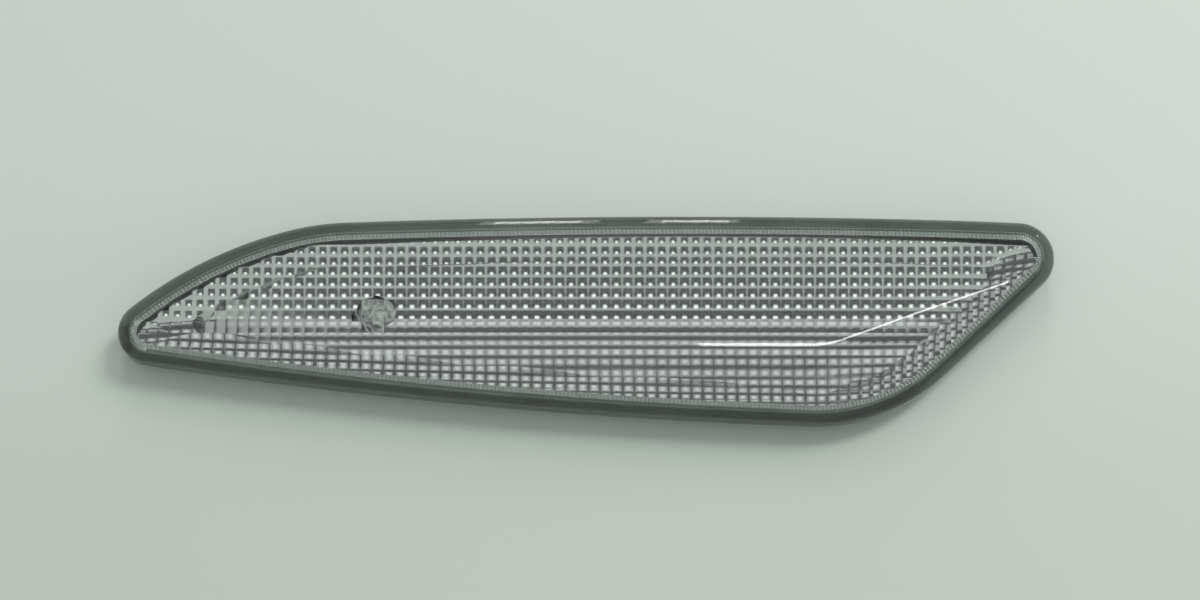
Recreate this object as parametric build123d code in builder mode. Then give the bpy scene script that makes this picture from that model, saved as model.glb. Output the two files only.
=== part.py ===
"""Car side repeater lamp: clear lens with pillow optics, housing, reflector, fixings, bulb and bulb holder.

X runs along the lamp, Z is up and the lens looks along -Y. The panel seat is the plane y = 0.
A level is a height above the panel seat: level 5 is the plane y = -5, level -15 lies inside the car.
"""
import os
from math import cos, radians, sin, tan

from build123d import *

os.makedirs("parts", exist_ok=True)

# Outline of the lamp, seen from the front
lamp_length = 157.5
lamp_height = 35.5
top_radius = 1730.0
crest_x = 18.0
bottom_radius = 950.0
low_x = 70.0
low_drop = 0.75
brow_radius = 70.2
brow_setback = 46.4
slant_angle = 43.0
slant_setback = 8.8
nose_radius = 5.25
tip_radius = 6.0
heel_radius = 32.0
brow_blend = 45.0
corner_min = 1.5

# Lens
lens_depth = 5.4
crown_radius = 150.0
plan_radius = 3500.0
edge_round = 2.0
lens_lip = 0.5
skirt_width = 1.8
skirt_height = 2.2
field_inset = 3.0
pillow_pitch = 1.9
pillow_height = 0.35
pillow_step = 0.1
row_line_z = 1.3

# Flange, pan and gasket
gasket_thick = 1.5
gasket_inset = 0.9
gasket_clear = 0.2
flange_thick = 2.5
locate_clear = 0.1
locate_height = 1.9
pan_inset = 4.0
pan_depth = 8.0
pan_wall = 1.6
pan_round = 2.0
rib_width = 1.2
rib_height = 1.4
rib_spread = 11.0
rib_start = -18.0
rib_end = 50.0
gusset_reach = 22.0
gusset_height = 5.0
gusset_angle = 24.0

# Fixing hook and retaining spring
panel_gap = 2.1
hook_width = 5.0
hook_reach = 4.0
hook_tip = 1.1
hook_root = 4.4
spring_thick = 0.6
spring_width = 9.0
spring_clear = 0.1
spring_reach = 3.4
spring_bend = 1.2
spring_corner = 0.9
channel_wall = 1.2
channel_lip = 1.2
channel_stop = 0.5

# Reflector
reflector_wall = 1.2
reflector_clear = 0.3
lip_clear = 0.1
lip_drop = 0.8
lip_thick = 0.8
lip_rim = 0.3
lip_angle = 12.0
trough_depth = 2.6
upper_flank = 10.6
lower_flank = 8.9
end_draft = 1.0
bulb_hole_clear = 0.4

# Bulb
bulb_x = -36.0
bulb_radius = 5.1
bulb_length = 26.8
bulb_clear = 3.3
glass_wall = 0.8
wedge_width = 9.6
wedge_thick = 2.6
wedge_length = 8.0
shoulder_length = 2.5
lead_radius = 0.22
lead_spread = 5.0
lead_return = 5.5
lead_over = 0.5
filament_drop = 8.0
filament_radius = 0.35

# Bulb holder and bulb tower
glass_clear = 0.4
neck_wall = 1.8
turn_clear = 0.3
tab_reach = 1.1
tab_width = 4.0
tab_thick = 1.6
twist_angle = 45.0
stop_width = 1.0
stop_angle = 20.0
tower_wall = 1.2
tower_depth = 15.0
end_wall = 2.0
seal_thick = 1.2
seal_touch = 0.05
seal_round = 0.3
holder_flange = 2.0
flange_margin = 0.4
block_width = 14.6
block_height = 11.4
block_round = 1.5
block_wall = 1.2
socket_depth = 9.5
socket_floor = 2.0
wedge_clear = 0.2
latch_length = 3.0
latch_height = 1.0

# Contacts
contact_thick = 0.8
contact_width = 7.0
blade_width = 2.8
blade_length = 7.5
blade_fit = 0.05
wire_touch = 0.03

# Levels that follow from the sizes above
flange_back = gasket_thick
lens_foot = flange_back + flange_thick
lens_crest = lens_foot + lens_depth
optic_level = lens_foot + skirt_height
lip_seat = lens_foot - lip_drop
lip_top = lip_seat + lip_thick
pan_floor = pan_wall - pan_depth
trough_floor = lens_foot - trough_depth
trough_back = trough_floor - reflector_wall
pillow_foot = optic_level - pillow_step
bulb_tip = pillow_foot - pillow_height - bulb_clear
dome_level = bulb_tip - bulb_radius
wedge_end = bulb_tip - bulb_length
wedge_top = wedge_end + wedge_length
filament_level = bulb_tip - filament_drop
tower_end = -tower_depth
chamber_end = end_wall - tower_depth
tab_back = chamber_end + turn_clear
tab_front = tab_back + tab_thick
seal_back = tower_end - seal_thick
holder_back = seal_back - holder_flange

# Insets of the pan's hollow, the reflector's rim and its trough, and the levels of the sloping lip
pan_hole = pan_inset + pan_wall
rim_inset = field_inset + lip_clear
dish_inset = rim_inset + lip_rim
body_inset = pan_hole + reflector_clear
trough_inset = body_inset + reflector_wall
lip_fall = tan(radians(lip_angle))
seat_foot = lip_seat - lip_fall * (pan_hole - field_inset)
dish_foot = lip_top - lip_fall * (trough_inset - dish_inset)

# Radii round the bulb axis, from the glass outward
neck_bore = bulb_radius + glass_clear
neck_radius = neck_bore + neck_wall
bore_radius = neck_radius + turn_clear
tab_radius = bore_radius + tab_reach
notch_radius = tab_radius + turn_clear / 2
chamber_radius = tab_radius + turn_clear
tower_radius = chamber_radius + tower_wall
flange_radius = tower_radius - flange_margin
hole_radius = bulb_radius + bulb_hole_clear

# Places that follow from the outline
slope = radians(slant_angle)
slant_x = lamp_length / 2 - slant_setback
brow_x = brow_setback - lamp_length / 2
low_z = -lamp_height / 2 - low_drop
far = 2 * lamp_length
bulb_top_edge = lamp_height / 2 - (bulb_x - crest_x) ** 2 / (2 * top_radius)
bulb_low_edge = low_z + (bulb_x - low_x) ** 2 / (2 * bottom_radius)
bulb_z = (bulb_top_edge + bulb_low_edge) / 2


def lamp_outline(level, inset):
    """Lamp outline moved inward by the inset, on the plane at the level."""
    with BuildSketch() as brow_corner:
        with Locations((brow_x, 0)):
            Rectangle(far, far, align=(Align.MAX, Align.CENTER))
        with Locations((brow_x, lamp_height / 2 - brow_radius)):
            Circle(brow_radius - inset, mode=Mode.SUBTRACT)
    with BuildSketch() as sketch:
        with Locations((crest_x, lamp_height / 2 - top_radius)):
            Circle(top_radius - inset)
        with Locations((low_x, low_z + bottom_radius)):
            Circle(bottom_radius - inset, mode=Mode.INTERSECT)
        with Locations((slant_x - inset * sin(slope), inset * cos(slope))):
            Rectangle(far, far, slant_angle, align=(Align.CENTER, Align.MAX), mode=Mode.SUBTRACT)
        add(brow_corner.sketch, mode=Mode.SUBTRACT)
        fillet(sketch.vertices().sort_by(Axis.X)[-1], max(tip_radius - inset, corner_min))
        fillet(sketch.vertices().sort_by(Axis.X)[0], max(nose_radius - inset, corner_min))
        fillet(sketch.vertices().sort_by(Axis.Y)[0], heel_radius - inset)
        brow_end = sketch.vertices().sort_by_distance((brow_x, lamp_height / 2))[0]
        fillet(brow_end, brow_blend - inset)
    return Plane.XZ.offset(level) * sketch.sketch


def outline_ring(level, outer_inset, inner_inset):
    """Ring between two insets of the outline."""
    return lamp_outline(level, outer_inset) - lamp_outline(level, inner_inset)


def bulb_plane(level):
    """Plane across the bulb axis at the level."""
    return Plane(origin=(bulb_x, -level, bulb_z), x_dir=(1, 0, 0), z_dir=(0, -1, 0))


def vee_profile(crease):
    """Triangle above the reflector's two flanks, which meet in a crease at the level."""
    with BuildSketch(Plane.YZ) as sketch:
        with Locations((-crease, row_line_z)):
            upper_end = (-lamp_height * tan(radians(upper_flank)), lamp_height)
            lower_end = (-lamp_height * tan(radians(lower_flank)), -lamp_height)
            Polygon((0, 0), upper_end, lower_end)
    return sketch.sketch


# Pillow optics: two crossed combs of ridges, kept inside the field
columns_needed = int(lamp_length / pillow_pitch)
rows_needed = int(lamp_height / pillow_pitch) + 2
half_pitch = pillow_pitch / 2
comb_back = pillow_step + pillow_height
with BuildPart() as pillows:
    with BuildSketch(Plane.XY):
        with Locations((0, -pillow_foot)):
            Rectangle(columns_needed * pillow_pitch, comb_back, align=(Align.CENTER, Align.MAX))
            with GridLocations(pillow_pitch, 0, columns_needed, 1):
                Polygon((-half_pitch, 0), (half_pitch, 0), (0, pillow_height))
    extrude(amount=lamp_height, both=True)
    with BuildSketch(Plane.YZ):
        with Locations((-pillow_foot, row_line_z)):
            Rectangle(comb_back, rows_needed * pillow_pitch, align=(Align.MAX, Align.CENTER))
            with GridLocations(0, pillow_pitch, 1, rows_needed):
                Polygon((0, -half_pitch), (pillow_height, 0), (0, half_pitch))
    extrude(amount=lamp_length, both=True, mode=Mode.INTERSECT, clean=False)
    field = lamp_outline(pillow_foot, field_inset)
    extrude(field, amount=2 * comb_back, both=True, mode=Mode.INTERSECT, clean=False)

# Lens: crowned block with a rounded edge, hollowed behind, with pillows
with BuildPart() as lens:
    extrude(lamp_outline(lens_foot, 0), amount=2 * lens_depth)
    with BuildSketch(Plane.YZ):
        with Locations((crown_radius - lens_crest, 0)):
            Circle(crown_radius)
        Rectangle(4 * lens_crest, 2 * lamp_height, mode=Mode.INTERSECT)
    revolve(axis=Axis((0, plan_radius - lens_crest, 0), (0, 0, 1)), mode=Mode.INTERSECT)
    fillet(lens.faces().sort_by(Axis.Y)[0].edges(), edge_round)
    extrude(lamp_outline(lens_foot, skirt_width), amount=skirt_height, mode=Mode.SUBTRACT)
    add(pillows.part, clean=False)
lens.part.label = "lens"
export_step(lens.part, "parts/lens.step")

# Places on the pan: its nose, and planes across the spring and down the spring channel
pan_edge = lamp_outline(flange_back, pan_inset)
nose_points = pan_edge.vertices().sort_by(Axis.X)[:2]
nose_x = pan_edge.bounding_box().min.X
nose_z = (nose_points[0].Z + nose_points[1].Z) / 2
slant_wall = (slant_x - pan_inset * sin(slope), 0, pan_inset * cos(slope))
slant_run = (cos(slope), 0, sin(slope))
slant_out = (sin(slope), 0, -cos(slope))
spring_plane = Plane(origin=slant_wall, x_dir=slant_out, z_dir=slant_run)
channel_plane = Plane(origin=slant_wall, x_dir=slant_run, z_dir=(0, 1, 0)).offset(panel_gap)
channel_length = pan_depth - pan_round - panel_gap
slot_depth = spring_thick + 2 * spring_clear
slot_width = spring_width + 2 * spring_clear
channel_height = slot_depth + channel_wall
stop_radius = (bore_radius + chamber_radius) / 2

# Space for the sloping lip of the reflector in the flange
with BuildPart() as lip_space:
    extrude(lamp_outline(lip_seat, field_inset), amount=lip_drop)
    loft([lamp_outline(lip_seat, field_inset), lamp_outline(seat_foot, pan_hole)], ruled=True)

# Housing: flange with locating wall and reflector seat, pan, bulb tower, hook, spring channel and ribs
with BuildPart() as housing:
    extrude(lamp_outline(flange_back, lens_lip), amount=flange_thick)
    locating_wall = outline_ring(lens_foot, skirt_width + locate_clear, field_inset)
    extrude(locating_wall, amount=locate_height)
    add(lip_space.part, mode=Mode.SUBTRACT)
    extrude(pan_edge, amount=-flange_back - pan_depth)
    fillet(housing.faces().sort_by(Axis.Y)[-1].edges(), pan_round)
    with BuildSketch(bulb_plane(pan_floor)):
        Circle(tower_radius)
    extrude(amount=tower_end - pan_floor)
    # Gussets beside the tower and ribs along the back of the pan
    with BuildSketch(Plane.XY.offset(bulb_z)):
        with Locations((bulb_x, pan_depth)):
            Trapezoid(2 * gusset_reach, gusset_height, gusset_angle, align=(Align.CENTER, Align.MIN))
    extrude(amount=rib_width / 2, both=True)
    with BuildSketch(Plane.XZ.offset(-pan_depth)):
        with Locations(((rib_start + rib_end) / 2, row_line_z)):
            with GridLocations(0, rib_spread, 1, 2):
                Rectangle(rib_end - rib_start, rib_width)
    extrude(amount=-rib_height)
    # Hook at the nose
    with BuildSketch(Plane.XY.offset(nose_z)):
        with Locations((nose_x, panel_gap)):
            Polygon((pan_wall, 0), (-hook_reach, 0), (-hook_reach, hook_tip), (pan_wall, hook_root))
    extrude(amount=hook_width / 2, both=True)
    # Channel for the foot of the spring, closed at the panel end
    with BuildSketch(channel_plane):
        Rectangle(slot_width + 2 * channel_wall, channel_height, align=(Align.CENTER, Align.MIN))
    extrude(amount=channel_length)
    with BuildSketch(channel_plane.offset(channel_stop)):
        Rectangle(slot_width, slot_depth, align=(Align.CENTER, Align.MIN))
        Rectangle(slot_width - 2 * channel_lip, channel_height, align=(Align.CENTER, Align.MIN))
    extrude(amount=channel_length, mode=Mode.SUBTRACT)
    # Hollow of the pan, bulb chamber and bore with its two notches
    extrude(lamp_outline(seat_foot, pan_hole), amount=pan_floor - seat_foot, mode=Mode.SUBTRACT)
    with BuildSketch(bulb_plane(pan_floor)):
        Circle(chamber_radius)
    extrude(amount=chamber_end - pan_floor, mode=Mode.SUBTRACT)
    with BuildSketch(bulb_plane(chamber_end)):
        Circle(notch_radius)
        Rectangle(2 * notch_radius, tab_width + 2 * turn_clear, 90 - twist_angle, mode=Mode.INTERSECT)
        Circle(bore_radius)
    extrude(amount=-end_wall, mode=Mode.SUBTRACT)
    # Stops for the tabs, at the locked end and at the open end of the turn
    with BuildSketch(bulb_plane(chamber_end)):
        with PolarLocations(stop_radius, 2, start_angle=90 + stop_angle):
            Rectangle(chamber_radius - bore_radius, stop_width)
        with PolarLocations(stop_radius, 2, start_angle=90 - twist_angle - stop_angle):
            Rectangle(chamber_radius - bore_radius, stop_width)
    extrude(amount=tab_thick)
housing.part.label = "housing"
export_step(housing.part, "parts/housing.step")

# Reflector: sloping lip in the flange seat, trough with two flanks in the pan, round hole for the bulb tip
with BuildPart() as reflector:
    extrude(lamp_outline(seat_foot, body_inset), amount=2 * (trough_back - seat_foot))
    extrude(vee_profile(trough_back), amount=lamp_length, both=True, mode=Mode.INTERSECT)
    with BuildPart():
        add(lip_space.part)
        extrude(lamp_outline(lip_top, rim_inset), amount=seat_foot - lip_top, mode=Mode.INTERSECT)
    with BuildPart(mode=Mode.SUBTRACT):
        loft([lamp_outline(lip_top, dish_inset), lamp_outline(dish_foot, trough_inset)], ruled=True)
        trough_foot = lamp_outline(trough_back, trough_inset + end_draft)
        loft([lamp_outline(dish_foot, trough_inset), trough_foot], ruled=True)
        extrude(vee_profile(trough_floor), amount=lamp_length, both=True, mode=Mode.INTERSECT)
    with Locations(bulb_plane(dome_level)):
        Sphere(hole_radius, mode=Mode.SUBTRACT)
reflector.part.label = "reflector"
export_step(reflector.part, "parts/reflector.step")

# Gasket between the flange and the car panel
with BuildPart() as body_gasket:
    extrude(outline_ring(0, gasket_inset, pan_inset - gasket_clear), amount=gasket_thick)
body_gasket.part.label = "body_gasket"
export_step(body_gasket.part, "parts/body_gasket.step")

# Retaining spring: foot in the channel, bend at the back, arm and sloping catch behind the panel
foot_u = spring_clear + spring_thick / 2
arm_u = foot_u + 2 * spring_bend
foot_end = panel_gap + channel_stop + spring_clear
catch_u = channel_height + spring_thick
catch_start = panel_gap + spring_thick
with BuildPart() as retaining_spring:
    with BuildSketch(spring_plane):
        with BuildLine():
            strip = FilletPolyline(
                (foot_u, foot_end),
                (foot_u, pan_depth),
                (arm_u, pan_depth),
                (spring_reach, catch_start + spring_bend),
                (catch_u, catch_start),
                radius=spring_corner,
            )
        trace(strip, spring_thick)
    extrude(amount=spring_width / 2, both=True)
retaining_spring.part.label = "retaining_spring"
export_step(retaining_spring.part, "parts/retaining_spring.step")

# Bulb leads: down through the wedge, round its end and up its face
fold = wedge_thick / 2 + wire_touch + lead_radius


def bulb_lead(side):
    """Lead on the right (1) or the left (-1) of the bulb axis."""
    lead_x = bulb_x + side * lead_spread / 2
    top = (lead_x, -filament_level - lead_over, bulb_z)
    turn_start = (lead_x, -wedge_end, bulb_z)
    turn_mid = (lead_x, fold / 2 - wedge_end, bulb_z + side * fold / 2)
    turn_end = (lead_x, -wedge_end, bulb_z + side * fold)
    with BuildPart() as lead:
        with BuildLine():
            Line(top, turn_start)
            ThreePointArc(turn_start, turn_mid, turn_end)
            Line(turn_end, (lead_x, -wedge_end - lead_return, bulb_z + side * fold))
        with BuildSketch(Plane(origin=top, z_dir=(0, 1, 0))):
            Circle(lead_radius)
        sweep()
    return lead.part


lead_right = bulb_lead(1)
lead_right.label = "bulb_lead_right"
export_step(lead_right, "parts/bulb_lead_right.step")
lead_left = bulb_lead(-1)
lead_left.label = "bulb_lead_left"
export_step(lead_left, "parts/bulb_lead_left.step")

# Filament between the tops of the leads
with BuildPart() as bulb_filament:
    with BuildSketch(Plane.YZ.offset(bulb_x)):
        with Locations((-filament_level, bulb_z)):
            Circle(filament_radius)
    extrude(amount=lead_spread / 2 - lead_radius, both=True)
bulb_filament.part.label = "bulb_filament"
export_step(bulb_filament.part, "parts/bulb_filament.step")

# Bulb glass: hollow dome and barrel, shoulder and solid wedge with the leads let in
shoulder_level = wedge_top + shoulder_length
with BuildPart() as bulb_glass:
    with BuildSketch(bulb_plane(shoulder_level)):
        Circle(bulb_radius)
    with BuildSketch(bulb_plane(wedge_top)):
        Rectangle(wedge_width, wedge_thick)
    loft()
    with BuildSketch(bulb_plane(wedge_top)):
        Rectangle(wedge_width, wedge_thick)
    extrude(amount=wedge_end - wedge_top)
    with BuildSketch(bulb_plane(dome_level)):
        Circle(bulb_radius)
    extrude(amount=shoulder_level - dome_level)
    with Locations((bulb_x, -dome_level, bulb_z)):
        Sphere(bulb_radius)
    with BuildSketch(bulb_plane(dome_level)):
        Circle(bulb_radius - glass_wall)
    extrude(amount=shoulder_level - dome_level, mode=Mode.SUBTRACT)
    with Locations((bulb_x, -dome_level, bulb_z)):
        Sphere(bulb_radius - glass_wall, mode=Mode.SUBTRACT)
    add([lead_right, lead_left], mode=Mode.SUBTRACT)
bulb_glass.part.label = "bulb_glass"
export_step(bulb_glass.part, "parts/bulb_glass.step")

# Contacts: one strip on each face of the wedge, with a blade in the plug socket
contact_inner = fold + lead_radius + wire_touch
contact_mid = contact_inner + contact_thick / 2
pocket_floor = wedge_end - fold / 2 - lead_radius - glass_clear
socket_top = pocket_floor - socket_floor
holder_end = socket_top - socket_depth


def contact_strip(side):
    """Strip above (1) or below (-1) the wedge."""
    with BuildPart() as strip:
        with BuildSketch(Plane.XY.offset(bulb_z + side * contact_mid)):
            with Locations((bulb_x, -wedge_top)):
                Rectangle(contact_width, wedge_top - pocket_floor, align=(Align.CENTER, Align.MIN))
            with Locations((bulb_x, -pocket_floor)):
                Rectangle(blade_width, socket_floor + blade_length, align=(Align.CENTER, Align.MIN))
        extrude(amount=contact_thick / 2, both=True)
    return strip.part


contact_upper = contact_strip(1)
contact_upper.label = "contact_upper"
export_step(contact_upper, "parts/contact_upper.step")
contact_lower = contact_strip(-1)
contact_lower.label = "contact_lower"
export_step(contact_lower, "parts/contact_lower.step")

# Bulb holder: neck with two tabs, flange, and a block with the wedge pocket and the plug socket
pocket_width = wedge_width + 2 * wedge_clear
pocket_height = 2 * (contact_inner + contact_thick + wedge_clear)
with BuildPart() as bulb_holder:
    with BuildSketch(bulb_plane(tab_front)):
        Circle(neck_radius)
    extrude(amount=holder_back - tab_front)
    with BuildSketch(bulb_plane(tab_front)):
        Circle(tab_radius)
        Rectangle(tab_width, 2 * tab_radius, mode=Mode.INTERSECT)
    extrude(amount=-tab_thick)
    with BuildSketch(bulb_plane(seal_back)):
        Circle(flange_radius)
    extrude(amount=-holder_flange)
    with BuildSketch(bulb_plane(holder_back)):
        RectangleRounded(block_width, block_height, block_round)
    extrude(amount=holder_end - holder_back)
    # Latch ramp for the plug
    with BuildSketch(Plane.YZ.offset(bulb_x)):
        with Locations((-holder_end - latch_length, bulb_z + block_height / 2)):
            Polygon((0, 0), (0, latch_height), (latch_length, 0))
    extrude(amount=latch_length, both=True)
    # Bore for the glass, pocket for the wedge, plug socket and slots for the blades
    with BuildSketch(bulb_plane(tab_front)):
        Circle(neck_bore)
    extrude(amount=wedge_top - glass_clear - tab_front, mode=Mode.SUBTRACT)
    with BuildSketch(bulb_plane(wedge_top)):
        Rectangle(pocket_width, pocket_height)
    extrude(amount=pocket_floor - wedge_top, mode=Mode.SUBTRACT)
    with BuildSketch(bulb_plane(holder_end)):
        Rectangle(block_width - 2 * block_wall, block_height - 2 * block_wall)
    extrude(amount=socket_depth, mode=Mode.SUBTRACT)
    with BuildSketch(bulb_plane(pocket_floor)):
        with GridLocations(0, 2 * contact_mid, 1, 2):
            Rectangle(blade_width + 2 * blade_fit, contact_thick + 2 * blade_fit)
    extrude(amount=-socket_floor, mode=Mode.SUBTRACT)
bulb_holder.part.label = "bulb_holder"
export_step(bulb_holder.part, "parts/bulb_holder.step")

# Seal between the holder flange and the end of the tower
with BuildPart() as holder_seal:
    with BuildSketch(bulb_plane(seal_back)):
        Circle(flange_radius - flange_margin)
        Circle(neck_radius + seal_touch, mode=Mode.SUBTRACT)
    extrude(amount=seal_thick - seal_touch)
    fillet(holder_seal.edges(), seal_round)
holder_seal.part.label = "holder_seal"
export_step(holder_seal.part, "parts/holder_seal.step")
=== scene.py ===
"""Side repeater lamp: the moulded lens, the finishes, the table, the lights and the camera.

The lamp's frame is the part's: X along the lamp, Z up, and the lens looks along -Y. Sizes of the
lens are in millimetres, and a level is a height above the panel seat. All else is in metres.
"""

import math

import bmesh
import bpy
import numpy as np
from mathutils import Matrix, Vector


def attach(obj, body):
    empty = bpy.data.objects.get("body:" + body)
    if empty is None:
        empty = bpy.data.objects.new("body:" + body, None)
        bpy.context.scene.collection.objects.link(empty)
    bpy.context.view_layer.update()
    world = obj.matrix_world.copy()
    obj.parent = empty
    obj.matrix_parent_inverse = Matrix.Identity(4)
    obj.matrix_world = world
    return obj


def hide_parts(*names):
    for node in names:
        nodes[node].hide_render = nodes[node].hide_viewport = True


MM = 0.001

# Outline of the lamp, as the part's source has it
LAMP_LENGTH = 157.5
LAMP_HEIGHT = 35.5
TOP_RADIUS, CREST_X = 1730.0, 18.0
BOTTOM_RADIUS, LOW_X, LOW_DROP = 950.0, 70.0, 0.75
BROW_RADIUS, BROW_SETBACK = 70.2, 46.4
SLANT_ANGLE, SLANT_SETBACK = 43.0, 8.8
NOSE_RADIUS, TIP_RADIUS, HEEL_RADIUS, BROW_BLEND = 5.25, 6.0, 32.0, 45.0

# Rough centres of the rounded corners, which pick one of two meeting points
NEAR_TIP, NEAR_HEEL, NEAR_NOSE, NEAR_BLEND = (74, 12), (40, 14), (-73, -3), (-40, -27)

# Points that stand for the outline, and how many points are measured against them at a time
EDGE_COUNT = 900
BATCH = 4000

# Outer face of the lens: crown, fall before the slanted end, rounded edge and side wall
LENS_FOOT = 3.98
LENS_CREST = 9.4
CROWN_RADIUS, PLAN_RADIUS = 150.0, 3500.0
END_FALL, END_REACH = 1.41, 16.7
EDGE_ROUND = 2.0
SLOPE_SPAN = 0.6
OUTER_COUNT = 640
ROUND_STEPS = 9

# Line along the lamp on which the rings of the outer face close, and their shares of the way to it
SPINE_START, SPINE_END = (-67.0, -2.2), (56.0, 2.0)
SPINE_STEPS = 120
RING_SHARES = (1.0, 0.94, 0.86, 0.77, 0.68, 0.59, 0.5, 0.41, 0.32, 0.24, 0.17, 0.11, 0.06, 0.025,
               0.0)

# Pillow field inside the lens
FIELD_INSET = 3.15
FIELD_REACH, FIELD_DOWN, FIELD_UP = 80, 20, 18
PILLOW_FOOT = 6.1
PILLOW_PITCH = 1.9
PILLOW_RISE = 0.22
PILLOW_STEPS = 6
ROW_LINE = 1.3
LEAST_ROOM = 0.004

# Ribbed border between the field and the skirt. The shares are of its width, from the field outward
SKIRT_WIDTH = 1.92
BORDER_LEVEL = 6.05
RIB_PITCH = 0.68
RIB_DEPTH = 0.1
RIB_STEPS = 4
RIB_START, FROST_END, RIB_END = 0.06, 0.66, 0.86

# A face is frosted if the mean of its points' frost marks is above this
FROST_MARK = 0.75

# Corners sharper than this stay sharp, and points nearer than this are one, in metres
SHARP_ANGLE = math.radians(16)
WELD = 1e-7

# Finishes: middle of the noise that a change of tone spans, and the shares of the colour it spans
TINT_SPAN = (0.3, 0.7)
METAL_DULL = 0.93
PLASTIC_DARK, PLASTIC_LIGHT = 0.86, 1.12

# Table, in metres apart from the inset of its opening from the outline
TABLE_COUNT = 160
TABLE_INSET = 3.8
TABLE_LEVEL = 0.0003
TABLE_RADIUS = 2.5
# Height above and below the lamp over which painted shade darkens the table towards the bottom
TABLE_PAINTED_SHADE_SPAN = 0.06

# Screens round the camera: cells along each side
SCREEN_CELLS = 8

# Lights of the rim streaks: way in front of the lamp, way above it and depth
RIM_LIGHT_FRONT, RIM_LIGHT_UP, RIM_LIGHT_DEPTH = 0.45, 0.78, 0.62

# Camera: tilt, way to the lamp and width of the view; the point it looks at, in millimetres, and
# how far that is raised in the picture
VIEW_TILT = math.radians(-14.0)
VIEW_AWAY = 0.52
VIEW_WIDTH = 0.2017
VIEW_POINT, VIEW_RAISED = (2.0, -6.0, 0.0), 3.3
SENSOR_WIDTH = 36.0
NEAREST_SEEN = 0.01

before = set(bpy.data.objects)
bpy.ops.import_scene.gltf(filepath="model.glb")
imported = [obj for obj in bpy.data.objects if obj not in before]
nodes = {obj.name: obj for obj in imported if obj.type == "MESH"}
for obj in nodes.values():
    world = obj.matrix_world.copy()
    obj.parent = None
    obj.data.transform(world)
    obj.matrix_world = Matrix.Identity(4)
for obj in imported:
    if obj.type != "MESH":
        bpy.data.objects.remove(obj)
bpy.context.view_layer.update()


# ---------------------------------------------------------------- outline

def circles_meet(c1, r1, c2, r2, near):
    """Meeting point of two circles that lies nearest to a point."""
    c1, c2 = np.array(c1), np.array(c2)
    gap = np.linalg.norm(c2 - c1)
    along = (r1 * r1 - r2 * r2 + gap * gap) / (2 * gap)
    up = math.sqrt(max(r1 * r1 - along * along, 0.0))
    axis = (c2 - c1) / gap
    side = np.array((-axis[1], axis[0]))
    both = [c1 + along * axis + s * up * side for s in (1, -1)]
    return min(both, key=lambda p: np.linalg.norm(p - np.array(near)))


def circle_meets_line(centre, radius, point, run, near):
    """Meeting point of a circle and a line that lies nearest to a point."""
    centre, point, run = np.array(centre), np.array(point), np.array(run)
    foot = point + run * np.dot(centre - point, run)
    half = math.sqrt(max(radius * radius - np.sum((centre - foot) ** 2), 0.0))
    both = [foot + s * half * run for s in (1, -1)]
    return min(both, key=lambda p: np.linalg.norm(p - np.array(near)))


def angle_of(v):
    """Direction of a flat vector, in radians."""
    return math.atan2(v[1], v[0])


def slant():
    """A point of the slanted end, its direction upward and its outward normal."""
    turn = math.radians(SLANT_ANGLE)
    run = np.array((math.cos(turn), math.sin(turn)))
    out = np.array((math.sin(turn), -math.cos(turn)))
    return np.array((LAMP_LENGTH / 2 - SLANT_SETBACK, 0.0)), run, out


def outline_runs():
    """The outline, counter-clockwise, as arcs and one straight.

    An arc has its centre, its radius and two angles, the straight its ends and its normal.
    """
    top = np.array((CREST_X, LAMP_HEIGHT / 2 - TOP_RADIUS))
    low = np.array((LOW_X, -LAMP_HEIGHT / 2 - LOW_DROP + BOTTOM_RADIUS))
    brow = np.array((BROW_SETBACK - LAMP_LENGTH / 2, LAMP_HEIGHT / 2 - BROW_RADIUS))
    start, run, out = slant()
    tip = circle_meets_line(top, TOP_RADIUS - TIP_RADIUS, start - TIP_RADIUS * out, run, NEAR_TIP)
    heel = circle_meets_line(low, BOTTOM_RADIUS - HEEL_RADIUS, start - HEEL_RADIUS * out, run,
                             NEAR_HEEL)
    nose = circles_meet(low, BOTTOM_RADIUS - NOSE_RADIUS, brow, BROW_RADIUS - NOSE_RADIUS,
                        NEAR_NOSE)
    blend = circles_meet(top, TOP_RADIUS - BROW_BLEND, brow, BROW_RADIUS - BROW_BLEND, NEAR_BLEND)
    stops = [
        (tip, TIP_RADIUS, angle_of(out), angle_of(tip - top)),
        (top, TOP_RADIUS, angle_of(tip - top), angle_of(blend - top)),
        (blend, BROW_BLEND, angle_of(blend - top), angle_of(blend - brow)),
        (brow, BROW_RADIUS, angle_of(blend - brow), angle_of(nose - brow)),
        (nose, NOSE_RADIUS, angle_of(nose - brow), angle_of(nose - low)),
        (low, BOTTOM_RADIUS, angle_of(nose - low), angle_of(heel - low)),
        (heel, HEEL_RADIUS, angle_of(heel - low), angle_of(out)),
    ]
    runs = []
    for centre, radius, a, b in stops:
        while b < a:
            b += 2 * math.pi
        runs.append(("arc", centre, radius, a, b))
    runs.append(("straight", heel + HEEL_RADIUS * out, tip + TIP_RADIUS * out, out))
    return runs


def outline_points(count):
    """Evenly spaced points of the outline, their outward normals and the length of the outline."""
    runs = outline_runs()
    lengths = [r[2] * (r[4] - r[3]) if r[0] == "arc" else float(np.linalg.norm(r[2] - r[1]))
               for r in runs]
    ends = np.cumsum([0.0] + lengths)
    points, normals = [], []
    for s in np.arange(count) * ends[-1] / count:
        i = min(int(np.searchsorted(ends, s, side="right")) - 1, len(runs) - 1)
        share = (s - ends[i]) / lengths[i]
        if runs[i][0] == "arc":
            _, centre, radius, a, b = runs[i]
            t = a + (b - a) * share
            n = np.array((math.cos(t), math.sin(t)))
            points.append(centre + radius * n)
        else:
            _, p, q, n = runs[i]
            points.append(p + (q - p) * share)
        normals.append(n)
    return np.array(points), np.array(normals), float(ends[-1])


EDGE, EDGE_OUT, EDGE_LENGTH = outline_points(EDGE_COUNT)
RIB_COUNT = round(EDGE_LENGTH / RIB_PITCH)


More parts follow.
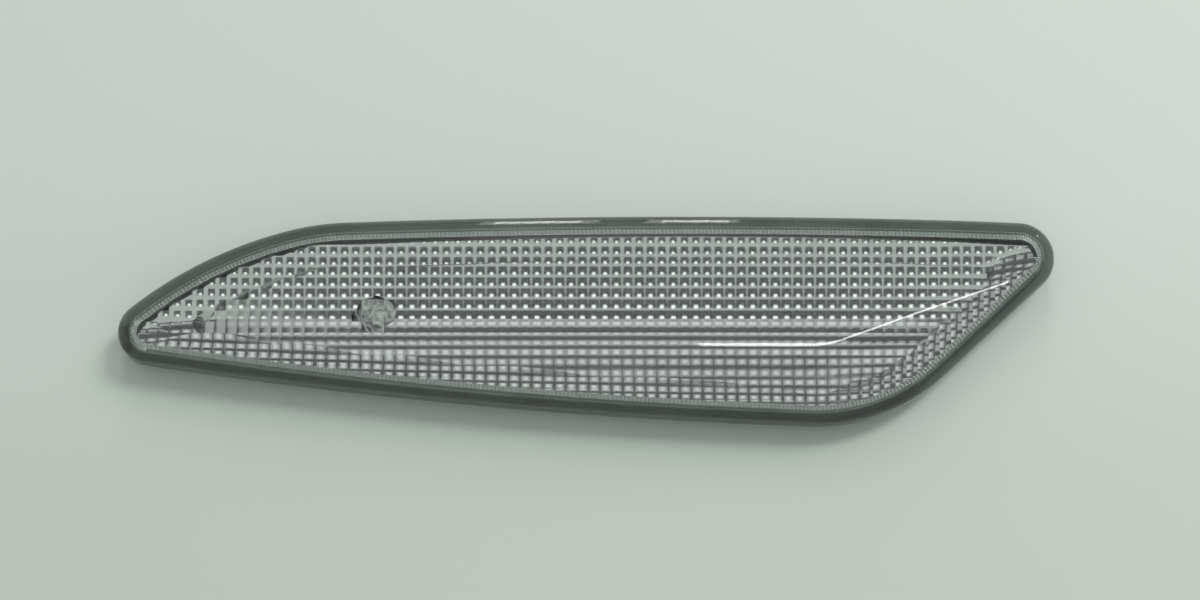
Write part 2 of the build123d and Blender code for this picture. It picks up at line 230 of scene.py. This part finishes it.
def rooms(points):
    """Batch by batch, the slice of the points and their depths inside each tangent of the edge."""
    for i in range(0, len(points), BATCH):
        part = slice(i, i + BATCH)
        yield part, np.sum(EDGE * EDGE_OUT, axis=1)[None, :] - points[part] @ EDGE_OUT.T


def depth_inside(points):
    """How far inside the outline each point lies."""
    depth = np.empty(len(points))
    for part, room in rooms(points):
        depth[part] = room.min(axis=1)
    return depth


def place_on_edge(points):
    """Length along the outline of the place nearest to each point."""
    nearest = np.empty(len(points))
    for part, room in rooms(points):
        k = room.argmin(axis=1)
        along = np.stack((-EDGE_OUT[k, 1], EDGE_OUT[k, 0]), axis=1)
        past = np.sum((points[part] - EDGE[k]) * along, axis=1)
        nearest[part] = k * EDGE_LENGTH / len(EDGE) + past
    return np.mod(nearest, EDGE_LENGTH)


# ---------------------------------------------------------------- lens

def crown_level(points):
    """Level of the smooth outer face: a shallow double crown that falls towards the slanted end."""
    x, z = points[:, 0], points[:, 1]
    crown = LENS_CREST - z * z / (2 * CROWN_RADIUS) - x * x / (2 * PLAN_RADIUS)
    start, _, out = slant()
    room = (start - points) @ out
    return crown - END_FALL * np.clip((END_REACH - room) / END_REACH, 0, None) ** 2


class Shell:
    """Vertices and faces of one moulding, given in millimetres and kept in metres."""

    def __init__(self):
        self.points, self.faces, self.marks = [], [], []

    def add(self, flat, level, pillow=0.0, rib=0.0, frost=0.0, run=None, lean=None):
        """Adds vertices and returns their numbers."""
        start = len(self.points)
        count = len(flat)
        level = np.broadcast_to(level, count)
        run = np.zeros(count) if run is None else run
        lean = np.zeros((count, 3)) if lean is None else lean
        for i in range(count):
            self.points.append((flat[i][0] * MM, -level[i] * MM, flat[i][1] * MM))
            self.marks.append((pillow, rib, frost, run[i], tuple(lean[i])))
        return list(range(start, start + count))

    def band(self, a, b):
        """Quads between two rings of the same count."""
        n = len(a)
        self.faces += [(a[i], a[(i + 1) % n], b[(i + 1) % n], b[i]) for i in range(n)]

    def stitch(self, a, run_a, b, run_b):
        """Triangles between two rings of different counts, by their lengths along the outline."""
        ia, ib = int(np.argmin(run_a)), int(np.argmin(run_b))
        a, run_a = a[ia:] + a[:ia], np.append(np.roll(run_a, -ia), EDGE_LENGTH + run_a.min())
        b, run_b = b[ib:] + b[:ib], np.append(np.roll(run_b, -ib), EDGE_LENGTH + run_b.min())
        i = j = 0
        while i < len(a) or j < len(b):
            if j >= len(b) or (i < len(a) and run_a[i + 1] <= run_b[j + 1]):
                self.faces.append((a[i % len(a)], a[(i + 1) % len(a)], b[j % len(b)]))
                i += 1
            else:
                self.faces.append((a[i % len(a)], b[(j + 1) % len(b)], b[j % len(b)]))
                j += 1

    def mesh(self, name):
        """A Blender mesh with the marks as point attributes."""
        made = bpy.data.meshes.new(name)
        made.from_pydata(self.points, [], self.faces)
        for k, label in enumerate(("pillow", "rib", "frost", "run")):
            values = [m[k] for m in self.marks]
            made.attributes.new(label, "FLOAT", "POINT").data.foreach_set("value", values)
        lean = made.attributes.new("lean", "FLOAT_VECTOR", "POINT")
        lean.data.foreach_set("vector", [v for m in self.marks for v in m[4]])
        return made


def lens_outside(shell):
    """Crowned face, rounded edge and side wall. Returns the ring at the foot and its lengths."""
    edge, out, length = outline_points(OUTER_COUNT)
    inner = crown_level(edge - (EDGE_ROUND + SLOPE_SPAN) * out)
    tilt = np.arctan((inner - crown_level(edge - EDGE_ROUND * out)) / SLOPE_SPAN)
    start = EDGE_ROUND * (1 - np.sin(tilt))
    rim = edge - start[:, None] * out
    # Both sides close on the same places of the spine, so that no slit is left
    a, b = np.array(SPINE_START), np.array(SPINE_END)
    share = np.clip((rim - a) @ (b - a) / np.sum((b - a) ** 2), 0, 1)
    share = np.round(share * SPINE_STEPS) / SPINE_STEPS
    spine = a + share[:, None] * (b - a)
    rings = []
    for step in RING_SHARES:
        flat = rim + (spine - rim) * step
        rings.append(shell.add(flat, crown_level(flat)))
    centre = crown_level(rim) - EDGE_ROUND * np.cos(tilt)
    for step in np.linspace(0, 1, ROUND_STEPS + 1)[1:]:
        turn = tilt + (math.pi / 2 - tilt) * step
        flat = edge - (EDGE_ROUND * (1 - np.sin(turn)))[:, None] * out
        rings.append(shell.add(flat, centre + EDGE_ROUND * np.cos(turn)))
    rings.append(shell.add(edge, LENS_FOOT))
    for first, second in zip(rings, rings[1:]):
        shell.band(first, second)
    return rings[-1], np.arange(OUTER_COUNT) * length / OUTER_COUNT


def lens_field(shell):
    """Flat grid of the pillow field, cut to its outline. Returns its border ring and lengths."""
    step = PILLOW_PITCH / PILLOW_STEPS
    reach, down, up = (math.ceil(v / step) for v in (FIELD_REACH, FIELD_DOWN, FIELD_UP))
    columns = np.arange(-reach, reach + 1) * step
    rows = ROW_LINE + np.arange(-down, up + 1) * step
    gx, gz = np.meshgrid(columns, rows, indexing="ij")
    flat = np.stack((gx.ravel(), gz.ravel()), axis=1)
    room = (depth_inside(flat) - FIELD_INSET).reshape(gx.shape)
    room[np.abs(room) < LEAST_ROOM] = LEAST_ROOM
    inside = room > 0
    number = np.full(gx.shape, -1)
    kept = np.argwhere(inside)
    numbers = shell.add([(gx[i, j], gz[i, j]) for i, j in kept], PILLOW_FOOT, pillow=1.0)
    for (i, j), k in zip(kept, numbers):
        number[i, j] = k
    cuts, cut_flat = {}, []

    def cut(p, q):
        """Vertex where the field outline crosses a grid edge."""
        key = (p, q) if p < q else (q, p)
        if key not in cuts:
            p, q = key
            t = room[p] / (room[p] - room[q])
            spot = (gx[p] + t * (gx[q] - gx[p]), gz[p] + t * (gz[q] - gz[p]))
            cuts[key] = shell.add([spot], PILLOW_FOOT, pillow=1.0)[0]
            cut_flat.append((cuts[key], spot))
        return cuts[key]

    for i in range(len(columns) - 1):
        for j in range(len(rows) - 1):
            corners = [(i, j), (i + 1, j), (i + 1, j + 1), (i, j + 1)]
            if not any(inside[c] for c in corners):
                continue
            face = []
            for p, q in zip(corners, corners[1:] + corners[:1]):
                if inside[p]:
                    face.append(int(number[p]))
                if inside[p] != inside[q]:
                    face.append(cut(p, q))
            if len(face) > 2:
                shell.faces.append(tuple(face))
    run = place_on_edge(np.array([spot for _, spot in cut_flat]))
    order = np.argsort(run)
    return [cut_flat[k][0] for k in order], run[order]


def lens_border(shell):
    """Ribbed band round the field and inner wall of the skirt. Returns end rings and lengths."""
    count = RIB_COUNT * RIB_STEPS
    edge, out, length = outline_points(count)
    run = np.arange(count) * length / count
    width = FIELD_INSET - SKIRT_WIDTH
    rise = PILLOW_FOOT - BORDER_LEVEL
    slope = math.hypot(width, rise)
    lean = np.stack((-out[:, 0] * rise / slope, np.full(count, width / slope),
                     -out[:, 1] * rise / slope), axis=1)
    rings = []
    for share, rib, frost in ((0.0, 0.0, 1.0), (RIB_START, 1.0, 1.0), (FROST_END, 1.0, 1.0),
                              (RIB_END, 1.0, 0.0), (1.0, 0.0, 0.0)):
        flat = edge - (FIELD_INSET - width * share) * out
        rings.append(shell.add(flat, PILLOW_FOOT - rise * share, rib=rib, frost=frost,
                               run=run * MM, lean=lean))
    rings.append(shell.add(edge - SKIRT_WIDTH * out, LENS_FOOT))
    for first, second in zip(rings, rings[1:]):
        shell.band(first, second)
    return rings[0], rings[-1], run


def flat_lens():
    """The closed lens before its optics are raised."""
    shell = Shell()
    foot, foot_run = lens_outside(shell)
    field_ring, field_run = lens_field(shell)
    border_top, border_foot, border_run = lens_border(shell)
    shell.stitch(field_ring, field_run, border_top, border_run)
    shell.stitch(border_foot, border_run, foot, foot_run)
    made = shell.mesh("lens_flat")
    work = bmesh.new()
    work.from_mesh(made)
    bmesh.ops.remove_doubles(work, verts=work.verts, dist=WELD)
    bmesh.ops.recalc_face_normals(work, faces=work.faces)
    work.to_mesh(made)
    work.free()
    return made


# ---------------------------------------------------------------- node trees

class Tree:
    """Shorthand for laying out a node tree."""

    def __init__(self, tree):
        self.tree = tree

    def node(self, kind, inputs=None, **settings):
        """New node. An input is linked if it is given a socket, and set otherwise."""
        made = self.tree.nodes.new(kind)
        for key, value in settings.items():
            setattr(made, key, value)
        for key, value in (inputs or {}).items():
            if isinstance(value, bpy.types.NodeSocket):
                self.tree.links.new(value, made.inputs[key])
            else:
                made.inputs[key].default_value = value
        return made

    def math(self, operation, *values):
        """Result of a math node."""
        return self.node("ShaderNodeMath", dict(enumerate(values)), operation=operation).outputs[0]

    def surface(self, shader, output="Material Output"):
        """Makes a shader the result of the tree."""
        self.tree.links.new(shader, self.tree.nodes[output].inputs["Surface"])


def lens_optics_tree():
    """Raises the pillows of the field and the ribs of the border from a flat lens."""
    group = bpy.data.node_groups.new("lens optics", "GeometryNodeTree")
    group.interface.new_socket("Geometry", in_out="OUTPUT", socket_type="NodeSocketGeometry")
    group.interface.new_socket("Geometry", in_out="INPUT", socket_type="NodeSocketGeometry")
    for name in ("Pillow pitch", "Pillow rise", "Row line", "Rib pitch", "Rib depth"):
        group.interface.new_socket(name, in_out="INPUT", socket_type="NodeSocketFloat")
    for name in ("Finish", "Rib finish"):
        group.interface.new_socket(name, in_out="INPUT", socket_type="NodeSocketMaterial")
    t = Tree(group)
    given = t.node("NodeGroupInput").outputs
    spot = t.node("GeometryNodeInputPosition").outputs[0]
    place = t.node("ShaderNodeSeparateXYZ", {0: spot}).outputs

    def mark(name, kind="FLOAT"):
        """A mark that the shell left on its points."""
        found = t.node("GeometryNodeInputNamedAttribute", {"Name": name}, data_type=kind)
        return found.outputs["Attribute"]

    def across(value, start):
        """Square of the way from the middle of the pillow, 1 at its edge."""
        cells = t.math("DIVIDE", t.math("SUBTRACT", value, start), given["Pillow pitch"])
        way = t.math("SUBTRACT", t.math("MULTIPLY", t.math("FRACT", cells), 2.0), 1.0)
        return t.math("MULTIPLY", way, way)

    both = t.math("ADD", across(place["X"], 0.0), across(place["Z"], given["Row line"]))
    dome = t.math("SUBTRACT", 1.0, t.math("MULTIPLY", both, 0.5))
    bulge = t.math("MULTIPLY", t.math("MULTIPLY", dome, given["Pillow rise"]), mark("pillow"))
    domed = t.node("ShaderNodeCombineXYZ", {"Y": bulge}).outputs[0]
    turns = t.math("MULTIPLY", t.math("DIVIDE", mark("run"), given["Rib pitch"]), 2 * math.pi)
    depth = t.math("MULTIPLY", mark("rib"), given["Rib depth"])
    wave = t.math("MULTIPLY", t.math("COSINE", turns), depth)
    lean = mark("lean", "FLOAT_VECTOR")
    ribbed = t.node("ShaderNodeVectorMath", {0: lean, "Scale": wave}, operation="SCALE").outputs[0]
    shift = t.node("ShaderNodeVectorMath", {0: domed, 1: ribbed}, operation="ADD").outputs[0]
    moved = t.node("GeometryNodeSetPosition", {"Geometry": given["Geometry"], "Offset": shift})
    whole = t.node("GeometryNodeRealizeInstances", {"Geometry": moved.outputs[0]})
    clear = t.node("GeometryNodeSetMaterial", {
        "Geometry": whole.outputs[0],
        "Material": given["Finish"],
    })
    frosted = t.node("GeometryNodeSetMaterial", {
        "Geometry": clear.outputs[0],
        "Selection": t.math("GREATER_THAN", mark("frost"), FROST_MARK),
        "Material": given["Rib finish"],
    })
    t.node("NodeGroupOutput", {"Geometry": frosted.outputs[0]})
    return group


def placed(name, data):
    """New object in the scene."""
    made = bpy.data.objects.new(name, data)
    bpy.context.scene.collection.objects.link(made)
    return made


def run_tree(start, name, group, values):
    """Runs a tree on a mesh and returns the result as a plain object."""
    holder = placed(name + "_start", start)
    modifier = holder.modifiers.new("shape", "NODES")
    modifier.node_group = group
    for item in group.interface.items_tree:
        if item.item_type == "SOCKET" and item.in_out == "INPUT" and item.name in values:
            modifier[item.identifier] = values[item.name]
    seen = holder.evaluated_get(bpy.context.evaluated_depsgraph_get())
    made = bpy.data.meshes.new_from_object(seen)
    bpy.data.objects.remove(holder)
    made.name = name
    return placed(name, made)


# ---------------------------------------------------------------- finishes

def finish(name):
    """New material, its tree and its Principled node."""
    made = bpy.data.materials.new(name)
    made.use_nodes = True
    tree = made.node_tree
    return made, Tree(tree), tree.nodes["Principled BSDF"]


def grain(t, scale, detail=4.0, rough=0.5):
    """Noise on the piece's own coordinates."""
    spot = t.node("ShaderNodeTexCoord").outputs["Object"]
    noise = t.node("ShaderNodeTexNoise",
                   {"Vector": spot, "Scale": scale, "Detail": detail, "Roughness": rough})
    return noise.outputs["Fac"]


def spread(t, value, low, high):
    """Maps a 0 to 1 value onto a range."""
    return t.node("ShaderNodeMapRange", {"Value": value, "To Min": low, "To Max": high}).outputs[0]


def tint(t, value, low, high):
    """Maps the middle of a 0 to 1 value onto the way from one colour to another."""
    ramp = t.node("ShaderNodeValToRGB", {"Fac": value})
    for element, colour, position in zip(ramp.color_ramp.elements, (low, high), TINT_SPAN):
        element.color = (*colour, 1)
        element.position = position
    return ramp.outputs["Color"]


def rough_surface(t, bsdf, height, roughness, bump, depth):
    """Roughness and bump from the same grain."""
    t.tree.links.new(spread(t, height, *roughness), bsdf.inputs["Roughness"])
    raised = t.node("ShaderNodeBump", {"Height": height, "Strength": bump, "Distance": depth})
    t.tree.links.new(raised.outputs[0], bsdf.inputs["Normal"])


def acrylic(name, colour, clear, roughness):
    """Moulded acrylic that lets light through, clear or a little frosted."""
    made, t, bsdf = finish(name)
    bsdf.inputs["Base Color"].default_value = (*colour, 1)
    bsdf.inputs["IOR"].default_value = 1.49
    bsdf.inputs["Transmission Weight"].default_value = clear
    t.tree.links.new(spread(t, grain(t, scale=900), *roughness), bsdf.inputs["Roughness"])
    path = t.node("ShaderNodeLightPath").outputs["Is Shadow Ray"]
    thin = t.node("ShaderNodeBsdfTransparent", {"Color": (0.88, 0.92, 0.9, 1)}).outputs[0]
    t.surface(t.node("ShaderNodeMixShader", {0: path, 1: bsdf.outputs[0], 2: thin}).outputs[0])
    return made


def bright_metal(name, colour, roughness, bump=0.02, scale=700):
    """Metallised or polished metal with a slight ripple."""
    made, t, bsdf = finish(name)
    bsdf.inputs["Metallic"].default_value = 1.0
    tone = tint(t, grain(t, scale=140), [METAL_DULL * c for c in colour], colour)
    t.tree.links.new(tone, bsdf.inputs["Base Color"])
    rough_surface(t, bsdf, grain(t, scale, detail=3.0), roughness, bump, depth=0.0002)
    return made


def hazy_silver():
    """Silvering of the bulb's glass: mottled, hazy and a little uneven."""
    made, t, bsdf = finish("silvered bulb")
    bsdf.inputs["Metallic"].default_value = 0.45
    mottle = grain(t, scale=1500, detail=2.0)
    tone = tint(t, mottle, (0.34, 0.35, 0.345), (0.97, 0.97, 0.96))
    t.tree.links.new(tone, bsdf.inputs["Base Color"])
    rough_surface(t, bsdf, mottle, roughness=(0.08, 0.16), bump=1.0, depth=0.0006)
    return made


def moulded(name, colour, roughness, bump=0.12, scale=2600):
    """Moulded plastic or rubber: fine spark-eroded grain and a slight change of tone."""
    made, t, bsdf = finish(name)
    tone = tint(t, grain(t, scale=160, detail=3.0), [PLASTIC_DARK * c for c in colour],
                [PLASTIC_LIGHT * c for c in colour])
    t.tree.links.new(tone, bsdf.inputs["Base Color"])
    rough_surface(t, bsdf, grain(t, scale, detail=6.0, rough=0.6), roughness, bump, depth=0.0003)
    return made


def dress(made, *names):
    """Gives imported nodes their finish."""
    for name in names:
        nodes[name].data.materials.clear()
        nodes[name].data.materials.append(made)


dress(moulded("dark housing plastic", (0.125, 0.147, 0.132), (0.38, 0.6)), "housing")
dress(bright_metal("metallised reflector", (0.87, 0.88, 0.87), (0.06, 0.14)), "reflector")
dress(moulded("gasket rubber", (0.03, 0.031, 0.032), (0.75, 0.95), bump=0.3, scale=1800),
      "body_gasket")
dress(bright_metal("spring steel", (0.6, 0.6, 0.58), (0.25, 0.4), bump=0.05, scale=1500),
      "retaining_spring")
dress(moulded("holder plastic", (0.15, 0.155, 0.16), (0.45, 0.65)), "bulb_holder")
dress(moulded("seal rubber", (0.04, 0.04, 0.042), (0.7, 0.9), bump=0.3, scale=1800),
      "holder_seal")
dress(bright_metal("contact brass", (0.76, 0.58, 0.28), (0.22, 0.38), bump=0.05, scale=1500),
      "contact_upper", "contact_lower")
dress(hazy_silver(), "bulb_glass")
dress(bright_metal("filament wire", (0.36, 0.36, 0.37), (0.3, 0.45)), "bulb_filament")
dress(bright_metal("lead wire", (0.62, 0.6, 0.56), (0.25, 0.4)),
      "bulb_lead_left", "bulb_lead_right")

lens = run_tree(flat_lens(), "moulded_lens", lens_optics_tree(), {
    "Pillow pitch": PILLOW_PITCH * MM,
    "Pillow rise": PILLOW_RISE * MM,
    "Row line": ROW_LINE * MM,
    "Rib pitch": EDGE_LENGTH * MM / RIB_COUNT,
    "Rib depth": RIB_DEPTH * MM,
    "Finish": acrylic("clear acrylic", (0.93, 0.96, 0.945), clear=1.0, roughness=(0.012, 0.026)),
    "Rib finish": acrylic("frosted acrylic ribs", (0.74, 0.78, 0.755), clear=0.7,
                          roughness=(0.25, 0.4)),
})
lens.data.shade_smooth()
lens.data.set_sharp_from_angle(angle=SHARP_ANGLE)
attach(lens, "lamp_body")
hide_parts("lens")


# ---------------------------------------------------------------- table, screens, lights and camera

def prop(name, work, made):
    """Object from a finished mesh that casts no shadow and colours nothing near it."""
    mesh = bpy.data.meshes.new(name)
    work.to_mesh(mesh)
    work.free()
    mesh.materials.append(made)
    piece = placed(name, mesh)
    piece.visible_shadow = False
    piece.visible_diffuse = False
    return piece


def table_paint():
    """Pale paint with painted shade that makes it a little darker towards the bottom, seen from its
    front only.
    """
    made, t, bsdf = finish("pale table")
    spot = t.node("ShaderNodeTexCoord").outputs["Object"]
    height = t.node("ShaderNodeSeparateXYZ", {0: spot}).outputs["Z"]
    # Painted shade: the paint goes darker towards the bottom, standing in for the light falling off
    # there
    share = t.node("ShaderNodeMapRange",
                   {"Value": height, "From Min": -TABLE_PAINTED_SHADE_SPAN, "From Max": TABLE_PAINTED_SHADE_SPAN}).outputs[0]
    tone = tint(t, share, (0.525, 0.57, 0.525), (0.572, 0.612, 0.572))
    t.tree.links.new(tone, bsdf.inputs["Base Color"])
    bsdf.inputs["Roughness"].default_value = 0.75
    bsdf.inputs["Specular IOR Level"].default_value = 0.2
    behind = t.node("ShaderNodeNewGeometry").outputs["Backfacing"]
    nothing = t.node("ShaderNodeBsdfTransparent").outputs[0]
    t.surface(t.node("ShaderNodeMixShader", {0: behind, 1: bsdf.outputs[0], 2: nothing}).outputs[0])
    return made


def pale_table():
    """Pale table behind the lamp, with an opening for the pan."""
    edge, out, _ = outline_points(TABLE_COUNT)
    work = bmesh.new()
    inner, outer = [], []
    for p in edge - TABLE_INSET * out:
        turn = angle_of(p)
        inner.append(work.verts.new((p[0] * MM, TABLE_LEVEL, p[1] * MM)))
        outer.append(work.verts.new((TABLE_RADIUS * math.cos(turn), TABLE_LEVEL,
                                     TABLE_RADIUS * math.sin(turn))))
    for i in range(TABLE_COUNT):
        j = (i + 1) % TABLE_COUNT
        work.faces.new((inner[i], outer[i], outer[j], inner[j]))
    bmesh.ops.recalc_face_normals(work, faces=work.faces)
    if work.faces[:][0].normal.y > 0:
        bmesh.ops.reverse_faces(work, faces=work.faces)
    table = prop("pale_table", work, table_paint())


def glow(name, tone):
    """Plain grey of a fixed brightness."""
    made, _, bsdf = finish(name)
    bsdf.inputs["Base Color"].default_value = (0, 0, 0, 1)
    bsdf.inputs["Specular IOR Level"].default_value = 0
    bsdf.inputs["Emission Color"].default_value = (tone, tone, tone, 1)
    bsdf.inputs["Emission Strength"].default_value = 1
    return made


def screens(name, reach, tone, spans):
    """Curved screens round the camera, which only the lamp's bright surfaces see.

    A span is an azimuth from and to and an elevation from and to, in degrees, from the front.
    """
    work = bmesh.new()
    for az0, az1, el0, el1 in spans:
        grid = []
        for a in np.radians(np.linspace(az0, az1, SCREEN_CELLS + 1)):
            grid.append([work.verts.new((reach * math.sin(a) * math.cos(e),
                                         -reach * math.cos(a) * math.cos(e), reach * math.sin(e)))
                         for e in np.radians(np.linspace(el0, el1, SCREEN_CELLS + 1))])
        for left, right in zip(grid, grid[1:]):
            for k in range(SCREEN_CELLS):
                work.faces.new((left[k], right[k], right[k + 1], left[k + 1]))
    screen = prop(name, work, glow(name.replace("_", " "), tone))
    screen.visible_camera = False
    return screen


def surroundings():
    """Even soft light; the camera, metal and glass see the pale background."""
    world = bpy.data.worlds.new("pale room")
    bpy.context.scene.world = world
    world.use_nodes = True
    t = Tree(world.node_tree)
    soft = world.node_tree.nodes["Background"]
    soft.inputs["Color"].default_value = (0.9, 0.95, 0.92, 1)
    soft.inputs["Strength"].default_value = 0.62
    pale = t.node("ShaderNodeBackground", {"Color": (0.53, 0.55, 0.535, 1), "Strength": 1.0})
    path = t.node("ShaderNodeLightPath").outputs
    seen = t.math("MAXIMUM", t.math("MAXIMUM", path["Is Camera Ray"], path["Is Glossy Ray"]),
                  path["Is Transmission Ray"])
    mixed = t.node("ShaderNodeMixShader", {0: seen, 1: soft.outputs[0], 2: pale.outputs[0]})
    t.surface(mixed.outputs[0], "World Output")


def area_light(name, spot, aim, size, power, colour=(1, 1, 1), in_lens=False):
    """Rectangular soft light, seen through the lens or not."""
    data = bpy.data.lights.new(name, "AREA")
    data.shape = "RECTANGLE"
    data.size, data.size_y = size
    data.energy = power
    data.color = colour
    light = placed(name, data)
    light.location = spot
    light.rotation_euler = (Vector(aim) - Vector(spot)).to_track_quat("-Z", "Y").to_euler()
    light.visible_transmission = in_lens
    return light


def lights():
    """Main light, tube for the streak on the lens, rim streaks, glint and light from behind."""
    softbox = area_light("softbox", spot=(0.52, -0.64, 0.46), aim=(0, 0, 0), size=(0.26, 0.2),
                         power=4.6, colour=(1, 1, 0.985))
    softbox.visible_glossy = False
    area_light("tube", spot=(0.316, -1.36, 0.216), aim=(0.316, 0, 0.216), size=(0.478, 0.011),
               power=0.24)
    # Each rim streak is a wide light with a smaller, brighter one a little nearer, for soft ends
    for side, x, width in (("left", -0.0345, 0.066), ("right", 0.051, 0.051)):
        for part, share, near, power in (("wide", 1.0, 1.0, 5.5), ("core", 0.72, 0.97, 5.8)):
            area_light(f"rim_light_{side}_{part}", aim=(x, 0, 0),
                       spot=(x, -RIM_LIGHT_FRONT * near, RIM_LIGHT_UP * near),
                       size=(share * width, RIM_LIGHT_DEPTH * share ** 2), power=power * width)
    area_light("tip_glint", spot=(0.55, -0.66, 0.5), aim=(0.075, 0, 0.012), size=(0.06, 0.06),
               power=0.14)
    area_light("rear_fill", spot=(-0.5, 0.9, 0.5), aim=(0, 0.015, 0), size=(0.7, 0.7), power=7.0,
               in_lens=True)


def camera():
    """Camera in front of the lamp and a little below it, as in the photograph."""
    data = bpy.data.cameras.new("camera")
    data.sensor_width = SENSOR_WIDTH
    data.lens = SENSOR_WIDTH * VIEW_AWAY / VIEW_WIDTH
    data.clip_start = NEAREST_SEEN
    made = placed("camera", data)
    look = Vector((0, math.cos(VIEW_TILT), -math.sin(VIEW_TILT)))
    up = Vector((0, math.sin(VIEW_TILT), math.cos(VIEW_TILT)))
    aim = Vector([v * MM for v in VIEW_POINT]) + up * VIEW_RAISED * MM
    made.location = aim - look * VIEW_AWAY
    made.rotation_euler = look.to_track_quat("-Z", "Z").to_euler()
    bpy.context.scene.camera = made


# The pillows show small images of these: a dark room with pale and bright openings
screens("dark_screens", reach=1.9, tone=0.09, spans=[
    (-6.5, 6.5, -37, -25), (-6.5, 6.5, -20, -8), (-48, 48, 4, 78)])
screens("pale_bars", reach=1.85, tone=0.46, spans=[
    (-8.5, 8.5, 8, 13), (-8.5, 8.5, 24, 32), (-8.5, 8.5, 36.5, 45), (-8.5, 8.5, 49, 55),
    (-24, -12, 25, 37)])
screens("bright_bars", reach=1.82, tone=0.85, spans=[(-4, 4, 25.5, 30), (-4, 4, 38, 43)])
card = screens("bright_card", reach=1.8, tone=1.5, spans=[
    (-2.3, 2.3, -28, -24.5), (-2.3, 2.3, -11, -7.5)])
card.visible_glossy = False
pale_table()
surroundings()
lights()
camera()
bpy.context.scene.view_settings.view_transform = "Standard"
